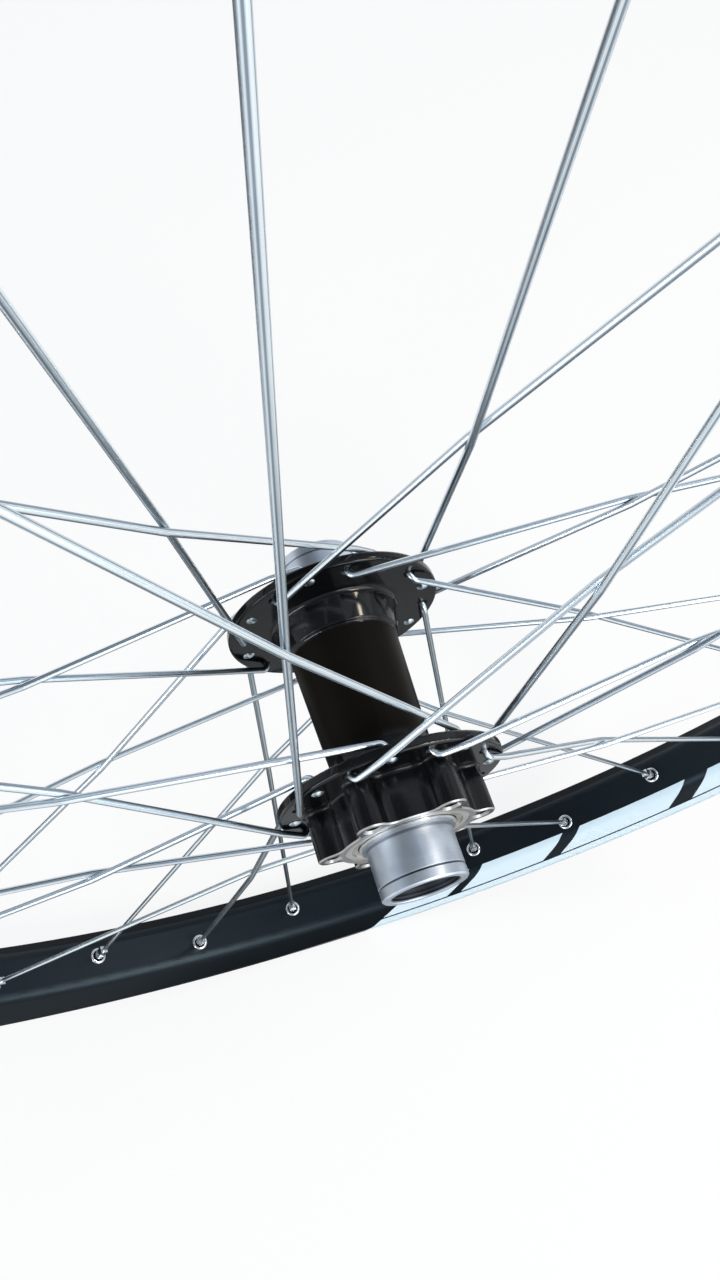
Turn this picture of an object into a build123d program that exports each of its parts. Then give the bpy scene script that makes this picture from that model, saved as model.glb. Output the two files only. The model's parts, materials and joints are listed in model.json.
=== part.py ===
from build123d import *
import math
import os

# A disc-brake front wheel, in millimetres and degrees. The axle lies along Y through the origin, the disc
# side is -Y (left), and the valve hole is straight up at +Z. Angles run from +X towards +Z.

# Lacing
spoke_count = 32
crosses = 3
spoke_d = 2.0
spoke_head_d = 3.7
spoke_head_h = 1.4
spoke_cone_h = 0.7
spoke_bend_r = 2.4
elbow_stand = 1.9
valve_angle = 90.0

# Hub: overall width, flanges and the disc mount
hub_width = 110.0
thru_axle_d = 20.0
flange_pcd = 59.0
flange_edge_w = 4.5
flange_t = 3.2
left_flange_y = -24.0
right_flange_y = 34.0
flange_hole_d = 2.6
flange_sink = 0.6
flange_round = 0.9
edge_break = 0.5
rotor_offset = 15.5
rotor_pcd = 44.0
rotor_bolts = 6
rotor_phase = 2.0
rotor_boss_d = 8.8
rotor_valley_r = 4.0
rotor_root_r = 1.0
rotor_edge_break = 0.4
rotor_hole_d = 4.2
rotor_hole_depth = 10.0
rotor_hole_sink = 0.7

# Hub shell walls and barrel
barrel_left_d = 31.0
barrel_flare_r = 8.5
boss_wall = 1.8
collar_wall = 1.5
collar_length = 9.2
collar_taper = 12.0
collar_cove = 2.2
collar_step_h = 1.0
collar_step_w = 0.8
collar_round = 0.8
right_boss_h = 2.9

# Bearings, one at each end
bearing_bore = 25.0
bearing_d = 37.0
bearing_w = 7.0
ball_share = 0.36
shield_t = 0.8
shield_recess = 0.4
bearing_recess = 0.3
cage_w = 3.6

# Axle tube and end caps
axle_shoulder_h = 0.8
cap_d = 25.5
cap_foot_d = 27.8
cap_foot_t = 1.2
cap_spigot_wall = 1.2
cap_spigot_length = 10.0
cap_groove_at = 3.4
cap_groove = 0.4

# Rim
bead_seat_d = 559.0
rim_width = 35.0
rim_height = 20.0
hook_height = 6.5
hook_nose = 1.2
hook_lip_h = 1.6
hook_bevel = 0.8
side_rise = 0.9
rim_wall = 1.9
tyre_bed_wall = 1.6
well_depth = 4.2
well_width = 15.0
bead_seat_w = 3.4
bead_seat_bevel = 0.6
shoulder_r = 5.5
shoulder_angle = 64.0
spoke_stagger = 2.2
access_hole_d = 8.0
valve_hole_d = 8.5

# Eyelets, one in each spoke hole of the rim
eyelet_d = 7.8
eyelet_h = 0.8
eyelet_mouth = 0.3
eyelet_bore_d = 5.2
eyelet_wall = 0.4
eyelet_lip_d = 7.0
eyelet_lip_h = 0.6

# Nipples
nipple_d = 4.0
nipple_flats = 3.2
nipple_head_d = 6.2
nipple_tail = 7.5
nipple_flat_length = 5.5
nipple_head_h = 1.9

# Clearances: pieces held together, pieces that run on each other, and loose holes
fit_gap = 0.02
running_gap = 0.05
thread_gap = 0.05
nipple_seat_gap = 0.3
eyelet_gap = 0.05
axle_gap = 0.5
race_relief = 0.5
shield_gap = 0.3

# Worked out from the sizes above
per_flange = spoke_count // 2
hole_step = 360.0 / per_flange
nipple_step = 360.0 / spoke_count
lacing_step = 4 * nipple_step
lacing_turns = spoke_count // 4
cross_angle = crosses * hole_step
last_cross_angle = (crosses - 0.5) * hole_step
spoke_r = spoke_d / 2
spoke_gap = fit_gap * 2
end_y = hub_width / 2
rotor_y = -end_y + rotor_offset
left_bearing_y = rotor_y + bearing_recess
right_bearing_y = right_flange_y + flange_t / 2 + right_boss_h - bearing_recess
left_seat_y = left_bearing_y + bearing_w
right_seat_y = right_bearing_y - bearing_w
flange_d = flange_pcd + 2 * flange_edge_w
race_t = (bearing_d - bearing_bore) / 2 * (1 - ball_share) / 2
race_in_r = bearing_bore / 2 + race_t
race_out_r = bearing_d / 2 - race_t
shoulder_outer_r = bearing_bore / 2 + axle_shoulder_h
shell_bore_r = shoulder_outer_r + axle_gap
rim_outer_r = bead_seat_d / 2 + hook_height
bed_r = rim_outer_r - rim_height
eyelet_barrel_r = eyelet_bore_d / 2 + eyelet_wall
eyelet_depth = rim_wall + eyelet_lip_h
nipple_seat = eyelet_depth + nipple_seat_gap


def polar(radius, angle, y):
    a = math.radians(angle)
    return Vector(radius * math.cos(a), y, radius * math.sin(a))


def turned(shape, angle):
    """The shape moved on by an angle around the axle."""
    return Rot(0, -angle, 0) * shape


def section(edges):
    """A face in the half plane of the axle and +Z, from edges drawn in (y, radius)."""
    return Plane.YZ * make_face(edges)


def ring(points):
    """A solid of revolution around the axle from (y, radius) corners."""
    return revolve(section([Polyline(*points, close=True)]), Axis.Y)


def tube(y0, y1, inner_r, outer_r):
    return ring([(y0, inner_r), (y1, inner_r), (y1, outer_r), (y0, outer_r)])


def rod(plane, radius, length):
    return extrude(plane * Circle(radius), amount=length)


def cone(plane, start_r, end_r, length):
    return plane * Cone(start_r, end_r, length, align=(Align.CENTER, Align.CENTER, Align.MIN))


def spun(edges):
    """A solid of revolution around Z from edges drawn in (radius, height)."""
    return revolve(Plane.XZ * make_face(edges), Axis.Z)


def spoke_head():
    """A countersunk head with a low dome, from the shank up."""
    edge = (spoke_head_d / 2, spoke_cone_h)
    top = (0, spoke_head_h)
    return spun([Polyline(top, (0, 0), (spoke_r, 0), edge), TangentArc(top, edge, tangent=(1, 0))])


class Spoke:
    """One family's path: through the flange, round the elbow, past the last crossing and into the rim."""

    def __init__(self, name, side, elbow, order, lead):
        self.name = name
        flange_y = left_flange_y if side < 0 else right_flange_y
        nipple_angle = valve_angle + nipple_step * (order + 0.5)
        hole_angle = nipple_angle - lead * cross_angle
        hole = polar(flange_pcd / 2, hole_angle, flange_y)
        self.seat = polar(bed_r, nipple_angle, side * spoke_stagger)
        self.out = Vector(0, side * elbow, 0)
        self.head = hole - self.out * (flange_t / 2)
        self.corner = hole + self.out * (flange_t / 2 + elbow_stand)
        self.crossing = self.last_crossing(hole) - self.out * (spoke_r + spoke_gap / 2)
        self.along = (self.seat - self.crossing).normalized()
        self.tip = self.seat + self.along * (nipple_seat + nipple_head_h)
        self.hole = Plane(self.seat, z_dir=polar(1, nipple_angle, 0))
        self.bends = [self.flange_edge(hole)] if elbow > 0 else []

    def last_crossing(self, hole):
        """Where the straight line from hole to seat meets the spoke that it is woven with."""
        near = flange_pcd / 2 * math.sin(math.radians(last_cross_angle))
        far = bed_r * math.sin(math.radians(cross_angle - last_cross_angle))
        return hole + (self.seat - hole) * (near / (near + far))

    def flange_edge(self, hole):
        """Where an outside elbow's spoke lies on the flange's edge before it leans in to the rim."""
        way = Vector(self.seat.X - hole.X, 0, self.seat.Z - hole.Z).normalized()
        start = Vector(hole.X, 0, hole.Z)
        behind = -start.dot(way)
        reach = math.sqrt((flange_d / 2) ** 2 - start.dot(start) + behind**2)
        return hole + way * (behind + reach) + self.out * (flange_t / 2 + spoke_r + spoke_gap)

    def solid(self):
        path = [*self.bends, self.crossing, self.tip]
        run = (path[0] - self.corner).normalized()
        bend = math.degrees(math.acos(self.out.dot(run)))
        tangent = spoke_bend_r * math.tan(math.radians(bend / 2))
        start = self.corner - self.out * tangent
        inward = (run - self.out * self.out.dot(run)).normalized()
        pivot = Axis(start + inward * spoke_bend_r, self.out.cross(run))
        elbow = revolve(Plane(start, z_dir=self.out) * Circle(spoke_r), pivot, revolution_arc=bend)
        leave = self.corner + run * tangent
        line = Polyline(leave, *path)
        body = sweep(Plane(leave, z_dir=run) * Circle(spoke_r), path=line, transition=Transition.RIGHT)
        sunk = Plane(self.head + self.out * flange_sink, z_dir=-self.out)
        shank = rod(Plane(sunk.origin, z_dir=self.out), spoke_r, (start - sunk.origin).length)
        return sunk * spoke_head() + shank + elbow + body


# The four families in the order of their nipples, counted on from the valve hole.
families = [
    Spoke("left_outer", -1, 1, 0, -1),
    Spoke("right_inner", 1, -1, 1, -1),
    Spoke("left_inner", -1, -1, 2, 1),
    Spoke("right_outer", 1, 1, 3, 1),
]


def make_eyelet():
    """An eyelet around Z: a domed flange on the spoke bed, a barrel and a lip rolled over inside the rim."""
    bore_r = eyelet_bore_d / 2
    edge = (eyelet_d / 2, -eyelet_gap)
    crest = (bore_r + eyelet_mouth, -eyelet_h)
    corners = [
        crest,
        (bore_r, eyelet_mouth - eyelet_h),
        (bore_r, eyelet_depth),
        (eyelet_lip_d / 2, eyelet_depth),
        (eyelet_lip_d / 2, rim_wall + eyelet_gap),
        (eyelet_barrel_r, rim_wall + eyelet_gap),
        (eyelet_barrel_r, -eyelet_gap),
        edge,
    ]
    return spun([Polyline(*corners), TangentArc(crest, edge, tangent=(1, 0))])


def make_nipple(spoke):
    at = Plane(spoke.seat, z_dir=spoke.along)
    cone_h = nipple_head_d / 2 - nipple_d / 2
    tail = extrude(at.offset(-nipple_tail) * Rectangle(nipple_flats, nipple_flats), amount=nipple_flat_length)
    body_from = nipple_flat_length - nipple_tail
    body = rod(at.offset(body_from), nipple_d / 2, nipple_seat - body_from)
    seat = at.offset(nipple_seat)
    flare = cone(seat, nipple_d / 2, nipple_head_d / 2, cone_h)
    head = rod(seat.offset(cone_h), nipple_head_d / 2, nipple_head_h)
    bore = rod(at.offset(-2 * nipple_tail), spoke_r + thread_gap, 4 * nipple_tail)
    return tail + body + flare + head - bore


def rim_shoulder(wall):
    """Corners (y, r) and arc middle of the bed, shoulder and side, moved in by a wall thickness."""
    a = math.radians(shoulder_angle)
    side_r = bead_seat_d / 2 + side_rise
    side = (side_r - bed_r - shoulder_r * (1 - math.cos(a))) / math.sin(a)
    centre_y = rim_width / 2 - side * math.cos(a) - shoulder_r * math.sin(a)
    r = shoulder_r - wall
    arc = [(centre_y + r * math.sin(t), bed_r + shoulder_r - r * math.cos(t)) for t in (0, a / 2, a)]
    return arc, a


def on_side(point, angle, radius):
    """The point at a radius on the side wall's line."""
    return (point[0] + (radius - point[1]) / math.tan(angle), radius)


def both_sides(half_edges):
    """A closed section from the edges of its +Y half, mirrored to -Y."""
    half = section(half_edges)
    return half + mirror(half, Plane.XZ)


def make_rim():
    half = rim_width / 2
    bead_r = bead_seat_d / 2
    well_r = bead_r - well_depth
    lip = half - rim_wall
    (p0, p1, p2), a = rim_shoulder(0)
    side_end = on_side(p2, a, bead_r + side_rise)
    nose = lip - hook_nose
    seat = lip - bead_seat_bevel
    hook = [
        side_end,
        (half, rim_outer_r - hook_bevel),
        (half - hook_bevel, rim_outer_r),
        (nose + hook_bevel, rim_outer_r),
        (nose, rim_outer_r - hook_bevel),
        (nose, rim_outer_r - hook_lip_h),
        (lip, rim_outer_r - hook_lip_h - hook_nose),
        (lip, bead_r + bead_seat_bevel),
        (seat, bead_r),
        (seat - bead_seat_w, bead_r),
        (well_width / 2, well_r),
        (0, well_r),
        (0, bed_r),
    ]
    outer = both_sides([Polyline((0, bed_r), p0), ThreePointArc(p0, p1, p2), Polyline(p2, *hook)])
    (q0, q1, q2), a = rim_shoulder(rim_wall)
    roof_r = bead_r - tyre_bed_wall
    floor_r = well_r - tyre_bed_wall
    roof = [
        on_side(q2, a, roof_r),
        (seat - bead_seat_w + tyre_bed_wall / 2, roof_r),
        (well_width / 2 + tyre_bed_wall / 2, floor_r),
        (0, floor_r),
        (0, bed_r + rim_wall),
    ]
    hollow = both_sides([Polyline((0, bed_r + rim_wall), q0), ThreePointArc(q0, q1, q2), Polyline(q2, *roof)])
    rim = revolve(outer - hollow, Axis.Y)
    drills = []
    for spoke in families:
        step = (bed_r + rim_wall + floor_r) / 2 - bed_r
        drill = rod(spoke.hole.offset(-rim_height), eyelet_barrel_r + fit_gap, rim_height + step)
        drill += rod(Plane(spoke.seat, z_dir=spoke.along).offset(step), access_hole_d / 2, rim_height)
        drills += [turned(drill, lacing_step * i) for i in range(lacing_turns)]
    valve = Plane(polar(bed_r - rim_height, valve_angle, 0), z_dir=polar(1, valve_angle, 0))
    return rim - drills - rod(valve, valve_hole_d / 2, 3 * rim_height)


def shell_section():
    """The turned outside of the hub shell, from the left flange's outer face to the right boss."""
    left_out = left_flange_y - flange_t / 2
    left_in = left_flange_y + flange_t / 2
    right_in = right_flange_y - flange_t / 2
    right_out = right_flange_y + flange_t / 2
    end = right_out + right_boss_h
    rim_r = flange_d / 2
    boss_r = bearing_d / 2 + boss_wall
    left_r = barrel_left_d / 2
    collar_base = (right_in, bearing_d / 2 + collar_wall)
    collar_fall = collar_length * math.tan(math.radians(collar_taper))
    collar_nose = (right_in - collar_length, collar_base[1] - collar_fall)
    collar_foot = (collar_nose[0] - collar_step_w, collar_nose[1] - collar_step_h)
    flare = barrel_flare_r
    dip = flare * (1 - math.sqrt(0.5))
    outline = make_face([
        Polyline(
            (left_out, shell_bore_r),
            (left_out, rim_r),
            (left_in, rim_r),
            (left_in, left_r + flare),
        ),
        ThreePointArc((left_in, left_r + flare), (left_in + dip, left_r + dip), (left_in + flare, left_r)),
        Polyline(
            (left_in + flare, left_r),
            collar_foot,
            collar_nose,
            collar_base,
            (right_in, rim_r),
            (right_out, rim_r),
            (right_out, boss_r),
            (end - edge_break, boss_r),
            (end, boss_r - edge_break),
            (end, shell_bore_r),
            (left_out, shell_bore_r),
        ),
    ])
    outline = fillet(outline.vertices().sort_by(Axis.Y)[-4:], flange_round)
    step = [outline.vertices().sort_by_distance(corner)[0] for corner in (collar_nose, collar_foot)]
    outline = fillet(step, collar_round)
    return Plane.YZ * fillet(outline.vertices().sort_by_distance(collar_base)[0], collar_cove)


def make_rotor_boss():
    """Six bolt lobes joined by scalloped valleys, from the left flange to the bevelled rotor face."""
    lobes = PolarLocations(rotor_pcd / 2, rotor_bolts, start_angle=rotor_phase) * Circle(rotor_boss_d / 2)
    outline = Circle(bearing_d / 2 + boss_wall) + lobes
    outline = fillet(outline.vertices(), rotor_valley_r)
    base = Plane((0, left_flange_y, 0), x_dir=(1, 0, 0), z_dir=(0, -1, 0))
    boss = extrude(base * outline, amount=left_flange_y - rotor_y)
    return chamfer(boss.faces().sort_by(Axis.Y)[0].edges(), rotor_edge_break)


def flange_drill(flange_y):
    """One spoke hole at angle 0, with a countersink on either face of the flange."""
    at = Plane((flange_pcd / 2, flange_y, 0), z_dir=(0, 1, 0))
    drill = rod(at.offset(-flange_t), flange_hole_d / 2, 2 * flange_t)
    for face in (1, -1):
        mouth = Plane(at.origin + Vector(0, face * flange_t / 2, 0), z_dir=(0, -face, 0))
        drill += cone(mouth, flange_hole_d / 2 + flange_sink, flange_hole_d / 2, flange_sink)
    return drill


def rotor_drill():
    """One tapping hole at angle 0 with a countersunk mouth in the rotor face."""
    mouth = Plane((rotor_pcd / 2, rotor_y, 0), z_dir=(0, 1, 0))
    sink = cone(mouth, rotor_hole_d / 2 + rotor_hole_sink, rotor_hole_d / 2, rotor_hole_sink)
    return rod(mouth, rotor_hole_d / 2, rotor_hole_depth) + sink


def make_hub_shell():
    shell = revolve(shell_section(), Axis.Y) + make_rotor_boss()
    flange_face = left_flange_y - flange_t / 2
    root = shell.edges().filter_by_position(Axis.Y, flange_face - fit_gap, flange_face + fit_gap)
    shell = fillet([edge for edge in root if edge.radius < flange_pcd / 2], rotor_root_r)
    seat_r = bearing_d / 2 + fit_gap
    bores = tube(-end_y, left_seat_y, 0, seat_r)
    bores += tube(right_seat_y, end_y, 0, seat_r)
    bores += tube(-end_y, left_seat_y + race_relief, 0, race_out_r)
    bores += tube(right_seat_y - race_relief, end_y, 0, race_out_r)
    bores += tube(-end_y, end_y, 0, shell_bore_r)
    drills = [turned(rotor_drill(), rotor_phase + 360 / rotor_bolts * i) for i in range(rotor_bolts)]
    first = valve_angle + nipple_step / 2 + cross_angle
    for flange_y, shift in ((left_flange_y, 0), (right_flange_y, nipple_step)):
        drill = flange_drill(flange_y)
        drills += [turned(drill, first + shift + hole_step * i) for i in range(per_flange)]
    return shell - bores - drills


def make_axle():
    """A tube with a thicker middle that spaces the inner races, counterbored at its ends for the caps."""
    seat_r = bearing_bore / 2 - fit_gap
    spigot_r = thru_axle_d / 2 + cap_spigot_wall + fit_gap
    left = left_bearing_y + edge_break
    right = right_bearing_y - edge_break
    axle = tube(left, right, thru_axle_d / 2, seat_r)
    axle += tube(left_seat_y, right_seat_y, thru_axle_d / 2, shoulder_outer_r)
    sockets = tube(left, left_bearing_y + cap_spigot_length + edge_break, 0, spigot_r)
    sockets += tube(right_bearing_y - cap_spigot_length - edge_break, right, 0, spigot_r)
    return axle - sockets


def make_end_cap(side, race_y):
    """A turned cap: a foot on the inner race, a long nose to the fork, and a spigot inside the axle tube."""
    bore_r = thru_axle_d / 2
    spigot_r = bore_r + cap_spigot_wall
    nose_r = cap_d / 2
    foot_end = race_y + side * cap_foot_t
    groove = side * (end_y - cap_groove_at)
    corners = [
        (race_y - side * cap_spigot_length, bore_r),
        (race_y - side * cap_spigot_length, spigot_r),
        (race_y, spigot_r),
        (race_y, cap_foot_d / 2),
        (foot_end, cap_foot_d / 2),
        (foot_end, nose_r),
        (groove - side * cap_groove, nose_r),
        (groove, nose_r - cap_groove),
        (groove + side * cap_groove, nose_r),
        (side * (end_y - edge_break), nose_r),
        (side * end_y, nose_r - edge_break),
        (side * end_y, bore_r + edge_break),
        (side * (end_y - edge_break), bore_r),
    ]
    return ring(corners)


def make_bearing(name, face_y, inward):
    """The pieces of one shielded bearing, from its outer face towards the hub's middle."""
    y = [face_y, face_y + inward * bearing_w]
    middle = face_y + inward * bearing_w / 2
    cage = cage_w / 2
    pieces = {
        "outer_race": tube(*y, race_out_r, bearing_d / 2),
        "inner_race": tube(*y, bearing_bore / 2, race_in_r),
        "ball_cage": tube(middle - cage, middle + cage, race_in_r + running_gap, race_out_r - running_gap),
    }
    for place, start, step in (("outer", y[0], inward), ("inner", y[1], -inward)):
        near = start + step * shield_recess
        far = near + step * shield_t
        pieces[place + "_shield"] = tube(near, far, race_in_r + shield_gap, race_out_r - fit_gap)
    return {f"{name}_{piece}": solid for piece, solid in pieces.items()}


def make_wheel():
    nodes = {"rim": make_rim(), "hub_shell": make_hub_shell()}
    nipples = []
    eyelets = []
    for spoke in families:
        solid = spoke.solid()
        nipple = make_nipple(spoke)
        eyelet = spoke.hole * make_eyelet()
        for i in range(lacing_turns):
            nodes[f"spoke_{spoke.name}_{i + 1}"] = turned(solid, lacing_step * i)
            nipples.append(turned(nipple, lacing_step * i))
            eyelets.append(turned(eyelet, lacing_step * i))
    nodes["nipples"] = Compound(children=nipples)
    nodes["eyelets"] = Compound(children=eyelets)
    nodes["axle"] = make_axle()
    nodes["left_end_cap"] = make_end_cap(-1, left_bearing_y)
    nodes["right_end_cap"] = make_end_cap(1, right_bearing_y)
    nodes.update(make_bearing("left", left_bearing_y, 1))
    nodes.update(make_bearing("right", right_bearing_y, -1))
    return nodes


if __name__ == "__main__":
    os.makedirs("parts", exist_ok=True)
    for name, shape in make_wheel().items():
        export_step(shape, f"parts/{name}.step")
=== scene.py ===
# %% [markdown]
# # A disc-brake bicycle front wheel
# The wheel comes in as finished solids: rim, eyelets, nipples, spokes, hub shell, axle, caps and bearings.
# Every solid is already in its place, in metres, with the axle along Y and the disc side at -Y.
# This lesson leaves the shapes alone and adds what solids lack: a view, light and the finish of each metal.

# %% The wheel's solids
import json
import math

import bpy
from mathutils import Matrix, Quaternion, Vector


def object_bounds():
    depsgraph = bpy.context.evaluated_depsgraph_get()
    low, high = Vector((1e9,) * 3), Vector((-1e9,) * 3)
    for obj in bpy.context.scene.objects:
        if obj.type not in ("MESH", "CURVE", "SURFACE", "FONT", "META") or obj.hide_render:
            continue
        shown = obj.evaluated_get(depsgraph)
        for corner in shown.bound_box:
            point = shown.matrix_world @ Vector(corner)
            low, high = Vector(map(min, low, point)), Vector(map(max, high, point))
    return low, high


mm_per_metre = 1000.0

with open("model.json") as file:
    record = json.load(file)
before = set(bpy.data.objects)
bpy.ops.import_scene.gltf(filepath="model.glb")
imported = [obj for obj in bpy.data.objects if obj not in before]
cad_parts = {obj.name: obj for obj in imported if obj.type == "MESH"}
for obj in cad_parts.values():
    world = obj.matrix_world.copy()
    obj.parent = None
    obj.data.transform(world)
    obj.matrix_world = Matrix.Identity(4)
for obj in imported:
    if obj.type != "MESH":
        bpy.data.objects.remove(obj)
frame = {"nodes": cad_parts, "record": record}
nodes = frame["nodes"]
solid_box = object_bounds()
wheel_radius_mm = solid_box[1].x * mm_per_metre
print(f"{len(nodes)} pieces, {2 * wheel_radius_mm:.0f} mm across")

# %% [markdown]
# ## The camera
# The photograph was taken from inside the wheel's circle: a phone held above the hub, on the disc side,
# looking steeply down past the spokes to the lowest part of the rim.
# A camera can be turned by three angles, but a place, a point to aim at and a roll are easier to read.
# The wide lens matters, because it makes the near spokes so much thicker than the far ones.

# %% Place, aim, roll and lens
camera_place = Vector((-0.0473, -0.1010, 0.2678))
camera_aim = Vector((-0.0045, 0.0, 0.0512))
camera_roll = math.radians(6.12)
camera_lens_mm = 27.11
long_side_mm = 36.0
nearest_seen = 0.01

scene = bpy.context.scene
camera_data = bpy.data.cameras.new("phone_view")
camera_data.sensor_width = long_side_mm
camera_data.lens = camera_lens_mm
camera_data.clip_start = nearest_seen
camera = bpy.data.objects.new("phone_view", camera_data)
scene.collection.objects.link(camera)
scene.camera = camera
look = camera_aim - camera_place
camera.rotation_mode = "QUATERNION"
camera.location = camera_place
camera.rotation_quaternion = look.to_track_quat("-Z", "Y") @ Quaternion((0, 0, 1), camera_roll)
print(f"camera {look.length * mm_per_metre:.0f} mm from its aim")

# %% [markdown]
# ## Shader maths as Python
# A finish is a small calculation at each point of a surface. In the node editor it is a web of Math nodes.
# Wrapping one socket in a class and giving it Python's operators lets the same web be written as a formula.
# The add method makes any other node: its type, its settings, and then the values or links of its sockets.

# %% One socket, with operators
class Socket:
    """An output socket of a shader tree, on which an operator adds a Math node."""

    def __init__(self, tree, output=None):
        self.tree = tree
        self.output = output

    def add(self, kind, settings=None, values=None, out=0):
        node = self.tree.nodes.new("ShaderNode" + kind)
        for name, setting in (settings or {}).items():
            setattr(node, name, setting)
        for name, value in (values or {}).items():
            self.join(node.inputs[name], value)
        return Socket(self.tree, node.outputs[out])

    def join(self, entry, value):
        """Links a socket to an entry of a node, or sets a constant there."""
        if isinstance(value, Socket):
            self.tree.links.new(value.output, entry)
        else:
            entry.default_value = value

    def beside(self, out):
        """Another output of the same node."""
        return Socket(self.tree, self.output.node.outputs[out])

    def math(self, operation, *others):
        return self.add("Math", {"operation": operation}, dict(enumerate((self, *others))))

    def __add__(self, other):
        return self.math("ADD", other)

    def __mul__(self, other):
        return self.math("MULTIPLY", other)

    def __sub__(self, other):
        return self.math("SUBTRACT", other)

    def __rsub__(self, other):
        return self.add("Math", {"operation": "SUBTRACT"}, {0: other, 1: self})

    def __truediv__(self, other):
        return self.math("DIVIDE", other)

    def __gt__(self, other):
        return self.math("GREATER_THAN", other)

    def __lt__(self, other):
        return self.math("LESS_THAN", other)

    __radd__ = __add__
    __rmul__ = __mul__

    def step(self, low, high):
        """A soft step from 0 at low to 1 at high."""
        values = {"Value": self, "From Min": low, "From Max": high}
        return self.add("MapRange", {"interpolation_type": "SMOOTHSTEP"}, values)

    def between(self, low, high):
        """low where this value is 0, high where it is 1."""
        return low + (high - low) * self

    def blend(self, colour_a, colour_b):
        """colour_a where this value is 0, colour_b where it is 1."""
        values = {0: self, 6: colour_a, 7: colour_b}
        return self.add("Mix", {"data_type": "RGBA"}, values, out=2)


print("operators: + - * / > <")

# %% [markdown]
# ## Where a point lies on the wheel
# Rim, hub, caps and bearings are rolled or turned around the axle, so x, y and z are the wrong numbers.
# Their finishes ask for the place along the axle, the radius from it and the turn around it.
# Object coordinates are used, so the pattern stays on the metal when the wheel spins.
# Noise that is read at these three numbers, with the turn made small, comes out as rings.

# %% Place along the axle, radius and turn
def wheel_place(start):
    """Millimetres along the axle, millimetres from the axle, and the turn in degrees from -180 to 180."""
    point = start.add("TexCoord", out="Object")
    x = start.add("SeparateXYZ", None, {0: point})
    across, up = x.beside("Y"), x.beside("Z")
    radius = (x * x + up * up).math("SQRT") * mm_per_metre
    turn = up.math("ARCTAN2", x) * math.degrees(1)
    return across * mm_per_metre, radius, turn


print("places are in millimetres and degrees")

# %% New finish, noise and relief
def new_finish(name, **settings):
    """A material, its shader's inputs with these constants set, and a socket to start formulas from."""
    material = bpy.data.materials.new(name)
    material.use_nodes = True
    shader = material.node_tree.nodes["Principled BSDF"]
    for entry, value in settings.items():
        shader.inputs[entry.replace("_", " ")].default_value = value
    return material, shader.inputs, Socket(material.node_tree)


def noise(start, vector, scale=1.0, detail=2.0):
    return start.add("TexNoise", None, {"Vector": vector, "Scale": scale, "Detail": detail})


def spots(start, per_metre):
    """Noise that is alike in all directions."""
    return noise(start, start.add("TexCoord", out="Object"), per_metre)


def lathe_rings(start, place, per_mm, per_degree, detail):
    """Noise stretched round the axle, like the marks of a lathe."""
    across, radius, turn = place
    values = {0: across * per_mm, 1: radius * per_mm, 2: turn * per_degree}
    return noise(start, start.add("CombineXYZ", None, values), detail=detail)


def relief(start, height, depth_mm):
    """A bump whose height of 1 stands depth_mm above the surface."""
    return start.add("Bump", None, {"Height": height, "Distance": depth_mm / mm_per_metre, "Strength": 1.0})


def shared(first, second, share):
    """The first value by this share, and the second by the rest."""
    return share * first + (1.0 - share) * second


print("patterns: spots, lathe rings and relief")

# %% [markdown]
# ## The rim: satin black with a pale print
# The rim is an extruded aluminium box, rolled into a hoop and anodised black.
# Extrusion leaves fine lines that run round the hoop, so the noise is stretched along the turn.
# The print could be drawn as a picture and wrapped round, but a formula stays sharp at any distance.
# Its motif is a row of slanted dashes, each longer than the last: equal steps in the logarithm of the
# distance along the rim do that. A thin dark line and a pale band along the edge finish it.

# %% Print layout
full_turn = 360.0
bed_radius_mm = 266.0
side_half_mm = 17.5
side_slack_mm = 0.9
side_top_mm = 280.4
side_angle = 64.0
channel_from_mm = 274.5
print_groups = 2
print_radius_mm = 274.0
print_start = 272.0
far_side_shift = 60.0
print_length_mm = 352.0
print_first_mm = 150.0
print_ratio = 1.30
print_duty = 0.84
print_slant = 0.95
dash_from_mm = 7.0
dash_to_mm = 25.0
band_from_mm = 26.4
band_to_mm = 36.6


def rim_print(across, radius, turn):
    """1 on the pale print of the two sides, 0 on the rest of the black rim."""
    out = across.math("ABSOLUTE")
    # Grows from the middle of the bed, over the shoulder, to the outer edge.
    down_side = out + radius - bed_radius_mm
    # Keeps the print off the channel for the tyre.
    lean = (side_top_mm - radius).math("MAXIMUM", 0.0) / math.tan(math.radians(side_angle))
    outside = (out + lean > side_half_mm - side_slack_mm).math("MAXIMUM", radius < channel_from_mm)
    # Two more full turns keep the angle above 0 for the modulo.
    from_start = turn - print_start - far_side_shift * (across > 0.0) + 2 * full_turn
    along = from_start.math("MODULO", full_turn / print_groups) * math.radians(print_radius_mm)
    slanted = along + print_slant * (down_side - band_to_mm)
    count = (slanted / print_first_mm + 1.0).math("LOGARITHM", print_ratio)
    dash = (count.math("FRACT") < print_duty) * (down_side > dash_from_mm) * (down_side < dash_to_mm)
    band = (down_side > band_from_mm) * (down_side < band_to_mm)
    inside = (slanted > 0.0) * (slanted < print_length_mm)
    return dash.math("MAXIMUM", band) * inside * outside


print(f"{print_groups} prints on each side, {print_length_mm:.0f} mm long")

# %% Rim finish
rim_mirror = 0.36
rim_mirror_tint = (0.62, 0.84, 1.0, 1)
rim_blacks = (0.0015, 0.0022, 0.0034, 1), (0.003, 0.0044, 0.0066, 1)
rim_roughness = 0.30
rim_cloud_roughness = 0.12
rim_line_roughness = 0.05
rim_line_height = 0.10
rim_line_detail = 3.0
rim_lines_per_mm = 3.0
rim_lines_per_degree = 0.05
rim_clouds_per_metre = 45.0
print_whites = (0.65, 0.78, 0.86, 1), (0.70, 0.84, 0.90, 1)
print_height_mm = 0.02


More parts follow.
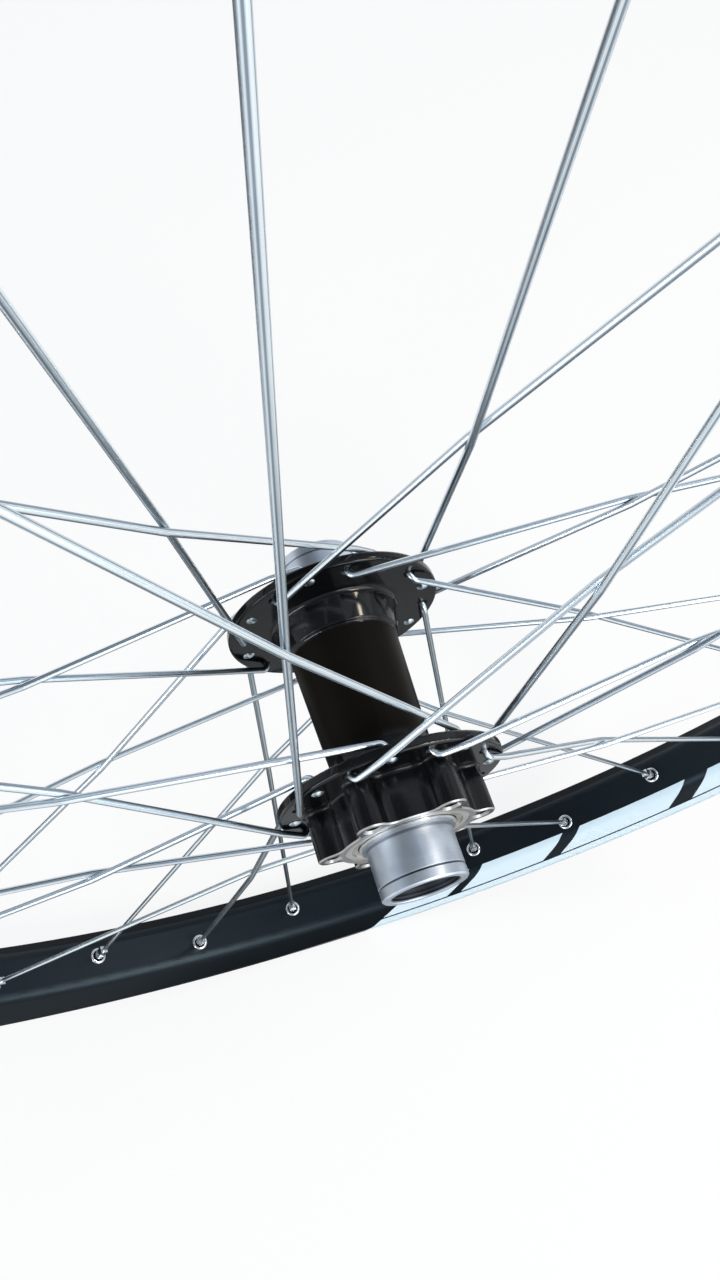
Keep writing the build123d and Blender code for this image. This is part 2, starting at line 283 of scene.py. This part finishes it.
def rim_finish():
    """Satin black with lines round the hoop, and the print standing a little above it."""
    mirror = {"Specular_IOR_Level": rim_mirror, "Specular_Tint": rim_mirror_tint}
    material, entry, start = new_finish("rim_satin_black", **mirror)
    across, radius, turn = wheel_place(start)
    pale = rim_print(across, radius, turn)
    values = {0: turn * rim_lines_per_degree, 1: across * rim_lines_per_mm, 2: radius * rim_lines_per_mm}
    lines = noise(start, start.add("CombineXYZ", None, values), detail=rim_line_detail)
    cloud = spots(start, rim_clouds_per_metre)
    start.join(entry["Base Color"], pale.blend(lines.blend(*rim_blacks), cloud.blend(*print_whites)))
    roughness = rim_roughness + rim_cloud_roughness * cloud + rim_line_roughness * lines
    start.join(entry["Roughness"], roughness)
    height = rim_line_height * lines * (1.0 - pale) + pale
    start.join(entry["Normal"], relief(start, height, print_height_mm))
    return material


rim_black = rim_finish()
print("rim finish:", rim_black.name)

# %% [markdown]
# ## The hub shell: gloss black
# The shell is turned from one bar. Its barrel keeps fine lathe rings under a warm, thin, satin black.
# The flanges and the lobed disc boss are polished first and come out almost like black glass.
# The ring round the bearing is cut last, through the black, so it is bare aluminium, and so are the bevels
# of the disc face. One material can do all of it: place and normal pick the barrel, the ring and the bevels.
# Satin and gloss differ in how much they mirror, which is one number for a whole shader, so two are mixed.

# %% Hub layout
barrel_from_mm = -14.0
barrel_soft_mm = 3.0
barrel_to_mm = 22.0
barrel_radius_mm = 18.2
boss_from_mm = -26.0
disc_face_mm = -39.5
disc_face_slack_mm = 0.3
bevel_slack_mm = 0.8
bevel_facing_from = -0.9
bevel_facing_to = -0.4
bare_ring_mm = 21.6
bare_ring_ragged_mm = 2.0


def hub_barrel(across, radius):
    """1 on the barrel between the flanges, 0 on the flanges, the collar and the boss."""
    after_flare = across.step(barrel_from_mm - barrel_soft_mm, barrel_from_mm + barrel_soft_mm)
    return after_flare * (across < barrel_to_mm) * (radius < barrel_radius_mm)


def hub_bare(start, across, radius, ragged):
    """1 where the black is cut away: the ring round the bearing and the bevels of the disc face."""
    facing = start.add("SeparateXYZ", None, {0: start.add("TexCoord", out="Normal")}, out="Y")
    ring_edge = radius + bare_ring_ragged_mm * ragged
    ring = (across < disc_face_mm + disc_face_slack_mm) * (ring_edge < bare_ring_mm)
    slopes = (facing < bevel_facing_to) * (facing > bevel_facing_from)
    bevels = (across < disc_face_mm + bevel_slack_mm) * slopes
    return ring.math("MAXIMUM", bevels)


print(f"barrel {barrel_to_mm - barrel_from_mm:.0f} mm long")

# %% Hub finish
gloss_mirror = 0.30
gloss_black = (0.0025, 0.003, 0.0038, 1)
gloss_roughness = 0.09
smear_roughness = 0.06
boss_roughness = 0.08
bare_roughness = 0.14
bare_greys = (0.30, 0.30, 0.29, 1), (0.56, 0.55, 0.53, 1)
peel_height = 0.25
bare_height = 0.5
gloss_relief_mm = 0.006
satin_mirror = 0.05
satin_blacks = (0.0055, 0.0042, 0.0030, 1), (0.0085, 0.0068, 0.0050, 1)
satin_roughness = 0.34
satin_ring_roughness = 0.10
satin_relief_mm = 0.003
hub_rings_per_mm = 6.0
hub_rings_per_degree = 0.01
hub_ring_detail = 3.0
peel_per_metre = 700.0
smears_per_metre = 60.0


def hub_finish():
    """Gloss black with bare cuts, mixed with satin black on the barrel."""
    material, entry, start = new_finish("hub_gloss_black", Specular_IOR_Level=gloss_mirror)
    place = wheel_place(start)
    across, radius = place[:2]
    rings = lathe_rings(start, place, hub_rings_per_mm, hub_rings_per_degree, hub_ring_detail)
    peel = spots(start, peel_per_metre)
    smear = spots(start, smears_per_metre)
    bare = hub_bare(start, across, radius, smear)
    boss = across < boss_from_mm
    roughness = gloss_roughness + smear_roughness * smear + boss_roughness * boss + bare_roughness * bare
    start.join(entry["Base Color"], bare.blend(gloss_black, rings.blend(*bare_greys)))
    start.join(entry["Metallic"], bare)
    start.join(entry["Roughness"], roughness)
    height = peel_height * peel + bare_height * bare * rings
    start.join(entry["Normal"], relief(start, height, gloss_relief_mm))
    satin = start.add("BsdfPrincipled", None, {
        "Base Color": rings.blend(*satin_blacks),
        "Roughness": satin_roughness + satin_ring_roughness * rings,
        "Specular IOR Level": satin_mirror,
        "Normal": relief(start, rings, satin_relief_mm),
    })
    hub_nodes = material.node_tree.nodes
    gloss = Socket(material.node_tree, hub_nodes["Principled BSDF"].outputs[0])
    shell = start.add("MixShader", None, {0: hub_barrel(across, radius), 1: gloss, 2: satin})
    start.join(hub_nodes["Material Output"].inputs["Surface"], shell)
    return material


hub_black = hub_finish()
print("hub finish:", hub_black.name)

# %% [markdown]
# ## Drawn wire and plated nipples
# Spokes are wire that was pulled through a die. Nipples and eyelets are plated.
# Their colour carries painted reflections: light and dark lines along each wire, set by which way the
# surface faces.
# Such lines could be mapped along each spoke's own length, which every spoke would need for itself.
# But along a straight wire the normal stays the same, so noise that is read at the normal runs lengthwise.

# %% Spokes, nipples and eyelets
reflection_streak_scale = 2.4
reflection_streak_detail = 0.5
reflection_streak_edges = 0.34, 0.60
grain_per_metre = 2600.0
grain_detail = 3.0
grain_share = 0.5
grain_mm = 0.0012
stains_per_metre = 90.0


def wire_finish(name, colours, roughness, reflection_share):
    """A bright metal whose colour follows painted reflection lines along the wire by this share, and stains
    by the rest.
    """
    material, entry, start = new_finish(name, Metallic=1.0)
    point = start.add("TexCoord", out="Object")
    # Painted reflections: noise read at the normal makes light and dark lines along the wire.
    painted_reflection = noise(start, point.beside("Normal"), reflection_streak_scale, reflection_streak_detail).step(*reflection_streak_edges)
    grain = noise(start, point, grain_per_metre, grain_detail)
    stain = noise(start, point, stains_per_metre)
    start.join(entry["Base Color"], shared(painted_reflection, stain, reflection_share).blend(*colours))
    start.join(entry["Roughness"], shared(grain, stain, grain_share).between(*roughness))
    start.join(entry["Normal"], relief(start, grain, grain_mm))
    return material


wire_greys = (0.22, 0.28, 0.35, 1), (0.84, 0.92, 0.96, 1)
plate_greys = (0.70, 0.71, 0.72, 1), (0.84, 0.85, 0.87, 1)
spoke_steel = wire_finish("spoke_steel", wire_greys, roughness=(0.24, 0.34), reflection_share=0.85)
nipple_plate = wire_finish("nipple_plate", plate_greys, roughness=(0.14, 0.26), reflection_share=0.2)
print("wire finishes:", spoke_steel.name, nipple_plate.name)

# %% [markdown]
# ## Turned and ground metal
# Caps and axle are turned, races are ground and shields are pressed. Each could have a material of its own,
# but all are bare metal and differ only in colour, in how rough they are and in the pitch of their marks.
# So one function makes the four. The bore, the caps' grooves and the corners at their feet are darkened as
# painted shade.

# %% Caps, axle, races and shields
bore_radius_mm = 10.3
bore_cuts_per_mm = 0.8
bore_cut_edges = 0.40, 0.58
shade_lines_mm = (-51.6, -40.6, 39.6, 51.6)
shade_half_mm = 0.30
shade_greys = (0.07, 0.08, 0.10, 1), (0.34, 0.37, 0.42, 1)
turned_rings_per_degree = 0.008
turned_ring_detail = 4.0
ring_colour_share = 0.5
ring_roughness_share = 0.4
wear_per_metre = 120.0
wear_edges = 0.36, 0.64


def painted_shade_place(across, radius):
    """1 in the bore, in the grooves and in the corners, where shade is painted."""
    shade_mask = radius < bore_radius_mm
    for line in shade_lines_mm:
        shade_mask = shade_mask.math("MAXIMUM", (across - line).math("ABSOLUTE") < shade_half_mm)
    return shade_mask


def turned_finish(name, colours, roughness, pitch_mm, depth_mm):
    """A bare metal with rings pitch_mm apart and depth_mm deep."""
    material, entry, start = new_finish(name, Metallic=1.0)
    place = wheel_place(start)
    across, radius = place[:2]
    rings = lathe_rings(start, place, 1.0 / pitch_mm, turned_rings_per_degree, turned_ring_detail)
    wear = spots(start, wear_per_metre)
    worn = shared(rings, wear.step(*wear_edges), ring_colour_share).blend(*colours)
    # Painted shade: darker greys in the bore, the grooves and the corners, banded along the axle.
    cuts = noise(start, start.add("CombineXYZ", None, {0: across}), bore_cuts_per_mm).step(*bore_cut_edges)
    shade_colour = cuts.blend(*shade_greys)
    start.join(entry["Base Color"], painted_shade_place(across, radius).blend(worn, shade_colour))
    start.join(entry["Roughness"], shared(rings, wear, ring_roughness_share).between(*roughness))
    start.join(entry["Normal"], relief(start, rings, depth_mm))
    return material


cap_greys = (0.50, 0.56, 0.65, 1), (0.76, 0.82, 0.90, 1)
axle_greys = (0.50, 0.51, 0.53, 1), (0.70, 0.71, 0.73, 1)
race_greys = (0.74, 0.73, 0.71, 1), (0.92, 0.91, 0.89, 1)
shield_greys = (0.42, 0.37, 0.30, 1), (0.88, 0.85, 0.78, 1)
cap_metal = turned_finish("cap_turned", cap_greys, (0.29, 0.43), pitch_mm=0.22, depth_mm=0.010)
axle_metal = turned_finish("axle_turned", axle_greys, (0.24, 0.36), pitch_mm=0.30, depth_mm=0.008)
race_steel = turned_finish("race_ground", race_greys, (0.14, 0.24), pitch_mm=0.15, depth_mm=0.003)
shield_steel = turned_finish("shield_pressed", shield_greys, (0.18, 0.30), pitch_mm=0.35, depth_mm=0.006)
print("turned finishes:", cap_metal.name, axle_metal.name, race_steel.name, shield_steel.name)

# %% [markdown]
# ## Finishes on the pieces
# The record names a material slot for every piece. The finishes could be given piece by piece, but going by
# slot gives all 32 spokes theirs at once, and a piece with an unknown slot stops the script.

# %% One finish for each slot
finish_of_slot = {
    "rim_black": rim_black,
    "hub_black": hub_black,
    "spoke_steel": spoke_steel,
    "nipple_metal": nipple_plate,
    "eyelet_steel": nipple_plate,
    "axle_metal": axle_metal,
    "cap_metal": cap_metal,
    "bearing_steel": race_steel,
    "shield_steel": shield_steel,
}
for piece in frame["record"]["subparts"]:
    nodes[piece["node"]].material_slots[0].material = finish_of_slot[piece["material_slot"]]
print(len(finish_of_slot), "slots on", len(nodes), "pieces")

# %% [markdown]
# ## The floor
# The wheel stands on a plain white floor. More light would whiten it, but would whiten the metal too.
# So most of the floor's white is given off as light that only the camera and reflections see, and the rest
# is paint, which keeps a faint shadow.

# %% White floor
floor_half = 30.0
floor_white = (0.93, 0.93, 0.93, 1)
floor_glow = 0.82
floor_z = solid_box[0].z


def floor_finish():
    """White paint, most of it replaced by white light where the camera or a reflection looks."""
    material = bpy.data.materials.new("floor_white")
    material.use_nodes = True
    tree = material.node_tree
    tree.nodes.remove(tree.nodes["Principled BSDF"])
    start = Socket(tree)
    paint = start.add("BsdfDiffuse", None, {"Color": floor_white})
    white = start.add("Emission", None, {"Strength": 1.0})
    seen = start.add("LightPath", out="Is Camera Ray")
    seen = seen + seen.beside("Is Glossy Ray") + seen.beside("Is Transmission Ray")
    shade = start.add("MixShader", None, {0: floor_glow * seen, 1: paint, 2: white})
    start.join(tree.nodes["Material Output"].inputs["Surface"], shade)
    return material


def level_corners(x, y, z):
    """The corners of a level rectangle, from the two ends of its x and of its y."""
    return [(x[0], y[0], z), (x[1], y[0], z), (x[1], y[1], z), (x[0], y[1], z)]


def flat_card(name, corners, material):
    """One flat face that is part of the room and not of the wheel."""
    mesh = bpy.data.meshes.new(name)
    mesh.from_pydata(corners, [], [tuple(range(len(corners)))])
    mesh.materials.append(material)
    card = bpy.data.objects.new(name, mesh)
    scene.collection.objects.link(card)
    return card


floor_ends = -floor_half, floor_half
flat_card("floor", level_corners(floor_ends, floor_ends, floor_z), floor_finish())
print(f"floor {-floor_z * mm_per_metre:.0f} mm below the axle")

# %% [markdown]
# ## Sky and lamps
# A pale sky, darker overhead, gives the plain light. A warm window and a strip on the right draw the narrow
# highlights of the collar, a soft white panel behind them lights the caps, and a cool bar on the left draws
# the edges there. One large lamp would light the wheel too, but polished metal shows the shape of its lamps.
# Each lamp faces the hub, so only its place has to be chosen.

# %% Lamps round the hub
sky_colours = (0.87, 0.89, 0.91, 1), (0.32, 0.38, 0.47, 1)
sky_heights = 0.0, 0.9
strip_light = (1.0, 0.88, 0.70)
window_light = (1.0, 0.92, 0.79)
panel_light = (0.97, 0.99, 1.0)
bar_light = (0.88, 0.94, 1.0)


def studio_sky():
    """A world that is pale at the horizon and darker overhead."""
    world = bpy.data.worlds.new("studio_sky")
    scene.world = world
    world.use_nodes = True
    start = Socket(world.node_tree)
    direction = start.add("TexCoord", out="Generated")
    height = start.add("SeparateXYZ", None, {0: direction}, out="Z")
    colour = height.step(*sky_heights).blend(*sky_colours)
    start.join(world.node_tree.nodes["Background"].inputs["Color"], colour)


def area_lamp(name, place, size, watts, colour):
    """A lamp that shines at the hub, its second size along the axle as far as that can be."""
    data = bpy.data.lights.new(name, "AREA")
    data.shape = "RECTANGLE"
    data.size, data.size_y = size
    data.energy = watts
    data.color = colour
    lamp = bpy.data.objects.new(name, data)
    scene.collection.objects.link(lamp)
    out = Vector(place).normalized()
    side = Vector((0, 1, 0)).cross(out).normalized()
    lamp.location = place
    lamp.rotation_mode = "QUATERNION"
    lamp.rotation_quaternion = Matrix((side, out.cross(side), out)).transposed().to_quaternion()


studio_sky()
area_lamp("warm_strip", place=(0.98, 0.13, 1.13), size=(0.13, 0.17), watts=2.5, colour=strip_light)
area_lamp("warm_window", place=(0.95, -0.93, 1.07), size=(0.40, 0.50), watts=15.0, colour=window_light)
area_lamp("white_panel", place=(1.00, 0.16, 1.37), size=(2.0, 0.9), watts=3.6, colour=panel_light)
area_lamp("cool_bar", place=(-1.25, -0.75, 0.35), size=(0.90, 0.16), watts=7.5, colour=bar_light)
scene.view_settings.view_transform = "Standard"
print(len(bpy.data.lights), "lamps and a sky")

# %% [markdown]
# ## Cards that only reflections see
# Gloss black shows whatever is around it, and in an empty white room it turns grey.
# Darker walls would mend that, but would take light from the whole scene. So flat cards stand in for a
# darker room: only reflections see them, and they throw no shadow.
# A pale one in front draws the soft band along the rim's shoulder.

# %% Cards above, below and in front
card_black = (0.0, 0.0, 0.0, 1)
card_light = (0.92, 0.97, 1.0, 1)
ceiling_z = 1.15
low_card_z = floor_z + 0.03
front_card_z = floor_z + 0.01
under_card_z = floor_z + 0.004
pale_left = 0.15, -1.05
pale_right = 1.05, -0.65
pale_low_z = 0.05
pale_high_z = 0.85


def reflected_card(name, glow, corners):
    """A card that only reflections see, as bright as its glow."""
    light = {"Emission_Color": card_light, "Emission_Strength": glow}
    finish = new_finish(name, Base_Color=card_black, Specular_IOR_Level=0.0, **light)
    card = flat_card(name, corners, finish[0])
    card.visible_camera = False
    card.visible_diffuse = False
    card.visible_shadow = False


pale_corners = [
    (*pale_left, pale_low_z),
    (*pale_right, pale_low_z),
    (*pale_right, pale_high_z),
    (*pale_left, pale_high_z),
]
reflected_card("grey_card", 0.27, level_corners((-1.5, 0.0), (-0.6, 0.55), ceiling_z))
reflected_card("dark_card", 0.08, level_corners((-1.5, 0.0), (0.55, 1.4), ceiling_z))
reflected_card("low_card", 0.10, level_corners((-1.8, -0.3), (0.10, 0.9), low_card_z))
reflected_card("front_card", 0.45, level_corners((-0.20, 0.30), (-0.45, -0.06), front_card_z))
reflected_card("under_card", 0.08, level_corners((-0.35, 0.35), (-0.06, 0.16), under_card_z))
reflected_card("pale_card", 4.0, pale_corners)
print("cards:", ", ".join(mesh.name for mesh in bpy.data.meshes if mesh.name.endswith("_card")))
